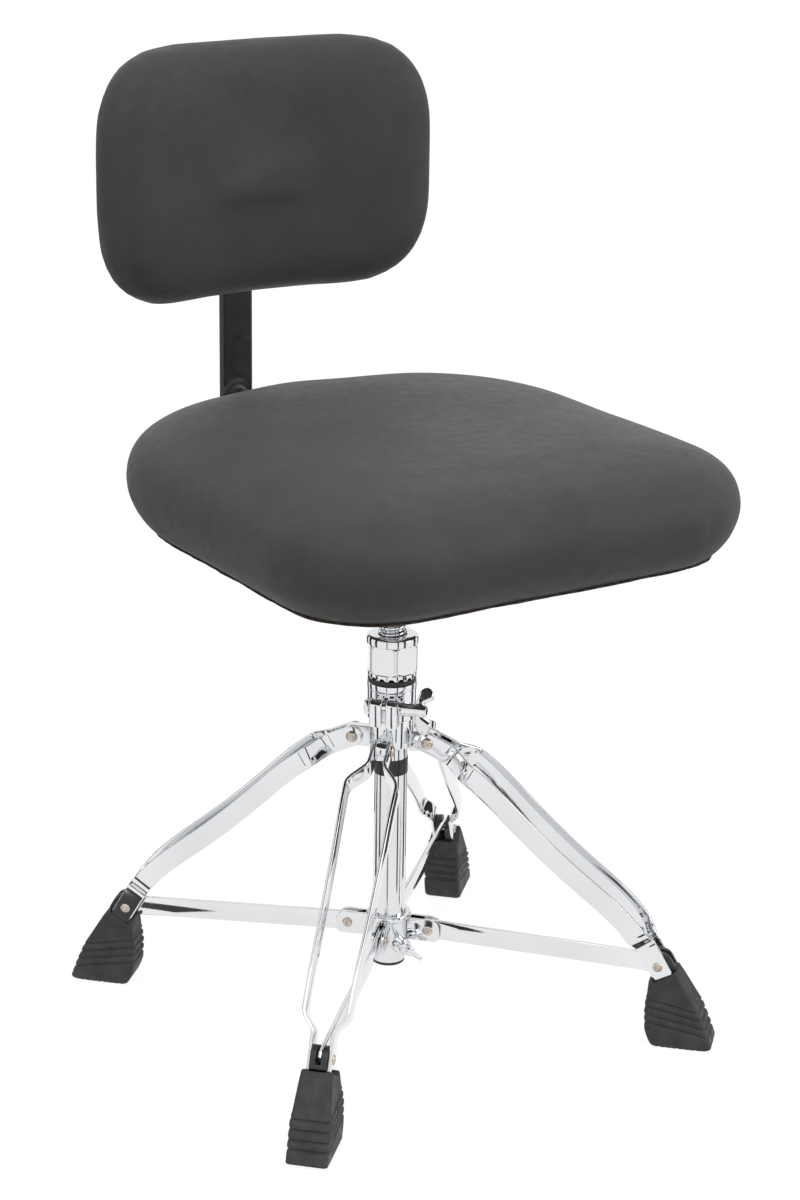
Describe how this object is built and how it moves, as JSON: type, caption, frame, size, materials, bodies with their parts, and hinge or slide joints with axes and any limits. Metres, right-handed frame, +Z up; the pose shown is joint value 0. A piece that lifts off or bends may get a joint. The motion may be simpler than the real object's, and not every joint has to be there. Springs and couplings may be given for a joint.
{
  "type": "drum throne",
  "caption": "Folding drum throne: braced strip legs with rubber feet, threaded height spindle, bench seat and curved backrest on a flat bar.",
  "frame": {"origin": "the point on the floor under the spindle's axis", "axes": "+Z up along the spindle, -Y towards the front of the seat, +X to the sitter's left"},
  "size_m": [0.3846, 0.4828, 0.7265],
  "materials": {
    "chrome": "polished chrome plate",
    "rivet_metal": "nickel plated rivets with a warm tint",
    "rubber": "matt moulded rubber",
    "black_nylon": "satin moulded nylon",
    "white_nylon": "natural nylon",
    "band_film": "plain gloss black band",
    "plated_screw": "zinc plated",
    "black_steel": "satin black powder coat",
    "plywood": "raw plywood",
    "upholstery": "smooth matt black cover over foam",
    "liner_cloth": "thin black liner"
  },
  "bodies": {
    "base": {"main_tube": "chrome", "tube_plug": "black_nylon", "tube_band": "band_film", "leg_collar": "chrome", "leg_pivot_rivets": "rivet_metal", "tube_clamp": "chrome", "clamp_bolt": "chrome", "clamp_ring": "chrome", "spindle_bush": "black_nylon", "height_nut": "chrome"},
    "clamp_wing": {"clamp_wing_nut": "chrome"},
    "leg_fr": {"strip_left_fr": "chrome", "strip_right_fr": "chrome", "foot_block_fr": "black_nylon", "rubber_foot_fr": "rubber", "foot_rivet_fr": "rivet_metal"},
    "leg_fl": {"strip_left_fl": "chrome", "strip_right_fl": "chrome", "foot_block_fl": "black_nylon", "rubber_foot_fl": "rubber", "foot_rivet_fl": "rivet_metal"},
    "leg_rl": {"strip_left_rl": "chrome", "strip_right_rl": "chrome", "foot_block_rl": "black_nylon", "rubber_foot_rl": "rubber", "foot_rivet_rl": "rivet_metal"},
    "leg_rr": {"strip_left_rr": "chrome", "strip_right_rr": "chrome", "foot_block_rr": "black_nylon", "rubber_foot_rr": "rubber", "foot_rivet_rr": "rivet_metal"},
    "collar": {"slide_collar": "chrome", "strut_clevises": "chrome", "strut_pins": "rivet_metal"},
    "collar_screw": {"collar_wing_screw": "chrome"},
    "strut_fr": {"strut_fr": "chrome"},
    "strut_fl": {"strut_fl": "chrome"},
    "strut_rl": {"strut_rl": "chrome"},
    "strut_rr": {"strut_rr": "chrome"},
    "guide": {"spindle_guide": "white_nylon"},
    "seat": {"spindle_rod": "chrome", "guide_screw": "plated_screw", "seat_hub": "black_steel", "hub_bolts": "plated_screw", "seat_plate": "black_steel", "seat_bolts": "plated_screw", "seat_board": "plywood", "seat_cushion": "upholstery", "dust_cover": "liner_cloth", "bar_holder": "black_steel", "holder_screws": "plated_screw"},
    "depth_knob": {"depth_knob": "black_nylon"},
    "bar": {"backrest_bar": "black_steel"},
    "back": {"back_sleeve": "black_steel", "back_board": "plywood", "back_screws": "plated_screw", "back_pad": "upholstery"},
    "height_knob": {"height_knob": "black_nylon"}
  },
  "joints": [
    {"name": "leg_fold_fr", "type": "hinge", "parent": "base", "child": "leg_fr", "pos_m": [-0.02065, -0.02065, 0.2282], "axis": [0.7071, -0.7071, 0], "range_deg": [0, 38]},
    {"name": "leg_fold_fl", "type": "hinge", "parent": "base", "child": "leg_fl", "pos_m": [0.02065, -0.02065, 0.2282], "axis": [0.7071, 0.7071, 0], "range_deg": [0, 38]},
    {"name": "leg_fold_rl", "type": "hinge", "parent": "base", "child": "leg_rl", "pos_m": [0.02065, 0.02065, 0.2282], "axis": [-0.7071, 0.7071, 0], "range_deg": [0, 38]},
    {"name": "leg_fold_rr", "type": "hinge", "parent": "base", "child": "leg_rr", "pos_m": [-0.02065, 0.02065, 0.2282], "axis": [-0.7071, -0.7071, 0], "range_deg": [0, 38]},
    {"name": "collar_slide", "type": "slide", "parent": "base", "child": "collar", "axis": [0, 0, 1], "range_m": [0, 0.09023]},
    {"name": "strut_swing_fr", "type": "hinge", "parent": "collar", "child": "strut_fr", "pos_m": [-0.02256, -0.02256, 0.072], "axis": [0.7071, -0.7071, 0], "range_deg": [0, 74.67]},
    {"name": "strut_swing_fl", "type": "hinge", "parent": "collar", "child": "strut_fl", "pos_m": [0.02256, -0.02256, 0.072], "axis": [0.7071, 0.7071, 0], "range_deg": [0, 74.67]},
    {"name": "strut_swing_rl", "type": "hinge", "parent": "collar", "child": "strut_rl", "pos_m": [0.02256, 0.02256, 0.072], "axis": [-0.7071, 0.7071, 0], "range_deg": [0, 74.67]},
    {"name": "strut_swing_rr", "type": "hinge", "parent": "collar", "child": "strut_rr", "pos_m": [-0.02256, 0.02256, 0.072], "axis": [-0.7071, -0.7071, 0], "range_deg": [0, 74.67]},
    {"name": "seat_lift", "type": "slide", "parent": "base", "child": "guide", "axis": [0, 0, 1], "range_m": [-0.045, 0.08]},
    {"name": "seat_turn", "type": "hinge", "parent": "guide", "child": "seat", "pos_m": [0, 0, 0.4], "axis": [0, 0, 1], "range_deg": [-3240, 5760]},
    {"name": "clamp_wing_turn", "type": "hinge", "parent": "base", "child": "clamp_wing", "pos_m": [-0.01697, -0.01697, 0.261], "axis": [0.7071, -0.7071, 0], "range_deg": [-270, 0]},
    {"name": "collar_screw_turn", "type": "hinge", "parent": "collar", "child": "collar_screw", "pos_m": [0, -0.02, 0.061], "axis": [0, -1, 0], "range_deg": [0, 270]},
    {"name": "back_depth", "type": "slide", "parent": "seat", "child": "bar", "axis": [0, 1, 0], "range_m": [-0.03, 0.03]},
    {"name": "depth_knob_turn", "type": "hinge", "parent": "seat", "child": "depth_knob", "pos_m": [0, 0.126, 0.37], "axis": [0, 0, -1], "range_deg": [0, 720]},
    {"name": "back_height", "type": "slide", "parent": "bar", "child": "back", "axis": [0, 0, 1], "range_m": [-0.035, 0.035]},
    {"name": "height_knob_turn", "type": "hinge", "parent": "back", "child": "height_knob", "pos_m": [0, 0.25, 0.625], "axis": [0, 1, 0], "range_deg": [0, 720]}
  ],
  "couplings": [
    {"joint": "leg_fold_fl", "follows": "leg_fold_fr", "ratio": 1},
    {"joint": "leg_fold_rl", "follows": "leg_fold_fr", "ratio": 1},
    {"joint": "leg_fold_rr", "follows": "leg_fold_fr", "ratio": 1},
    {"joint": "collar_slide", "follows": "leg_fold_fr", "m_per_rad": 0.13604},
    {"joint": "strut_swing_fr", "follows": "leg_fold_fr", "ratio": 1.9648},
    {"joint": "strut_swing_fl", "follows": "leg_fold_fr", "ratio": 1.9648},
    {"joint": "strut_swing_rl", "follows": "leg_fold_fr", "ratio": 1.9648},
    {"joint": "strut_swing_rr", "follows": "leg_fold_fr", "ratio": 1.9648},
    {"joint": "seat_lift", "follows": "seat_turn", "m_per_rad": 0.00079577}
  ]
}
